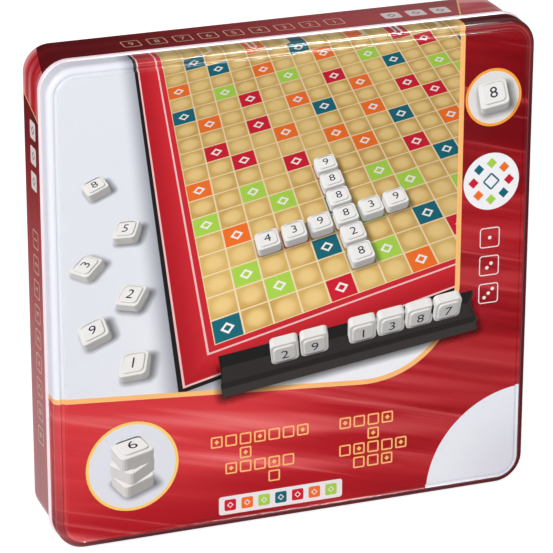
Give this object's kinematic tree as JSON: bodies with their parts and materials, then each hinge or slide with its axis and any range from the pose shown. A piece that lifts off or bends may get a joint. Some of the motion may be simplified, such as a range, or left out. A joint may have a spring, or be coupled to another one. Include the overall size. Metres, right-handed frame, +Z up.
{
  "type": "travel word tile game case",
  "caption": "Square slip-lid metal tin with round corners that holds a word tile game: a folded playing mat, tile racks, letter tiles in a formed tray and a rule booklet.",
  "frame": {"origin": "middle of the tin's width and depth, at the lowest point of its rim bead, where it stands on its edge", "axes": "+Z up the face of the standing tin, -Y out of the lid's face, +X to the right of someone who looks at the lid"},
  "size_m": [0.2514, 0.045, 0.2514],
  "materials": {
    "printed_tinplate": "gloss print and varnish on tinplate",
    "bare_tinplate": "bright lacquered tinplate",
    "tray_plastic": "satin formed sheet",
    "tile_plastic": "smooth moulded",
    "rack_plastic": "satin moulded",
    "mat_cloth": "printed cloth face on a soft rubber backing",
    "booklet_paper": "uncoated paper, coated cover"
  },
  "bodies": {
    "base": {"base_body": "printed_tinplate", "back_panel": "bare_tinplate", "tray": "tray_plastic"},
    "lid": {"lid": "printed_tinplate"},
    "rule_booklet": {"rule_booklet": "booklet_paper"},
    "game_mat": {"game_mat": "mat_cloth"},
    "rack_1": {"rack_1": "rack_plastic"},
    "rack_2": {"rack_2": "rack_plastic"},
    "rack_3": {"rack_3": "rack_plastic"},
    "rack_4": {"rack_4": "rack_plastic"},
    "tiles_top_1": {"tiles_top_1": "tile_plastic"},
    "tiles_top_2": {"tiles_top_2": "tile_plastic"},
    "tiles_top_3": {"tiles_top_3": "tile_plastic"},
    "tiles_top_4": {"tiles_top_4": "tile_plastic"},
    "tiles_top_5": {"tiles_top_5": "tile_plastic"},
    "tiles_low_1": {"tiles_low_1": "tile_plastic"},
    "tiles_low_2": {"tiles_low_2": "tile_plastic"},
    "tiles_low_3": {"tiles_low_3": "tile_plastic"},
    "tiles_low_4": {"tiles_low_4": "tile_plastic"},
    "tiles_low_5": {"tiles_low_5": "tile_plastic"}
  },
  "joints": [
    {"name": "lid_lift", "type": "slide", "parent": "base", "child": "lid", "axis": [0, -1, 0], "range_m": [0, 0.32]},
    {"name": "rule_booklet_lift", "type": "slide", "parent": "base", "child": "rule_booklet", "axis": [0, -1, 0], "range_m": [0, 0.256]},
    {"name": "game_mat_lift", "type": "slide", "parent": "base", "child": "game_mat", "axis": [0, -1, 0], "range_m": [0, 0.2048]},
    {"name": "rack_1_lift", "type": "slide", "parent": "base", "child": "rack_1", "axis": [0, -1, 0], "range_m": [0, 0.1472]},
    {"name": "rack_2_lift", "type": "slide", "parent": "base", "child": "rack_2", "axis": [0, -1, 0], "range_m": [0, 0.1376]},
    {"name": "rack_3_lift", "type": "slide", "parent": "base", "child": "rack_3", "axis": [0, -1, 0], "range_m": [0, 0.128]},
    {"name": "rack_4_lift", "type": "slide", "parent": "base", "child": "rack_4", "axis": [0, -1, 0], "range_m": [0, 0.1184]},
    {"name": "tiles_top_1_lift", "type": "slide", "parent": "base", "child": "tiles_top_1", "axis": [0, -1, 0], "range_m": [0, 0.1024]},
    {"name": "tiles_top_2_lift", "type": "slide", "parent": "base", "child": "tiles_top_2", "axis": [0, -1, 0], "range_m": [0, 0.096]},
    {"name": "tiles_top_3_lift", "type": "slide", "parent": "base", "child": "tiles_top_3", "axis": [0, -1, 0], "range_m": [0, 0.0896]},
    {"name": "tiles_top_4_lift", "type": "slide", "parent": "base", "child": "tiles_top_4", "axis": [0, -1, 0], "range_m": [0, 0.0832]},
    {"name": "tiles_top_5_lift", "type": "slide", "parent": "base", "child": "tiles_top_5", "axis": [0, -1, 0], "range_m": [0, 0.0768]},
    {"name": "tiles_low_1_lift", "type": "slide", "parent": "base", "child": "tiles_low_1", "axis": [0, -1, 0], "range_m": [0, 0.0512]},
    {"name": "tiles_low_2_lift", "type": "slide", "parent": "base", "child": "tiles_low_2", "axis": [0, -1, 0], "range_m": [0, 0.048]},
    {"name": "tiles_low_3_lift", "type": "slide", "parent": "base", "child": "tiles_low_3", "axis": [0, -1, 0], "range_m": [0, 0.0448]},
    {"name": "tiles_low_4_lift", "type": "slide", "parent": "base", "child": "tiles_low_4", "axis": [0, -1, 0], "range_m": [0, 0.0416]},
    {"name": "tiles_low_5_lift", "type": "slide", "parent": "base", "child": "tiles_low_5", "axis": [0, -1, 0], "range_m": [0, 0.0384]}
  ],
  "couplings": [
    {"joint": "rule_booklet_lift", "follows": "lid_lift", "ratio": 0.8},
    {"joint": "game_mat_lift", "follows": "lid_lift", "ratio": 0.64},
    {"joint": "rack_1_lift", "follows": "lid_lift", "ratio": 0.46},
    {"joint": "rack_2_lift", "follows": "lid_lift", "ratio": 0.43},
    {"joint": "rack_3_lift", "follows": "lid_lift", "ratio": 0.4},
    {"joint": "rack_4_lift", "follows": "lid_lift", "ratio": 0.37},
    {"joint": "tiles_top_1_lift", "follows": "lid_lift", "ratio": 0.32},
    {"joint": "tiles_top_2_lift", "follows": "lid_lift", "ratio": 0.3},
    {"joint": "tiles_top_3_lift", "follows": "lid_lift", "ratio": 0.28},
    {"joint": "tiles_top_4_lift", "follows": "lid_lift", "ratio": 0.26},
    {"joint": "tiles_top_5_lift", "follows": "lid_lift", "ratio": 0.24},
    {"joint": "tiles_low_1_lift", "follows": "lid_lift", "ratio": 0.16},
    {"joint": "tiles_low_2_lift", "follows": "lid_lift", "ratio": 0.15},
    {"joint": "tiles_low_3_lift", "follows": "lid_lift", "ratio": 0.14},
    {"joint": "tiles_low_4_lift", "follows": "lid_lift", "ratio": 0.13},
    {"joint": "tiles_low_5_lift", "follows": "lid_lift", "ratio": 0.12}
  ]
}
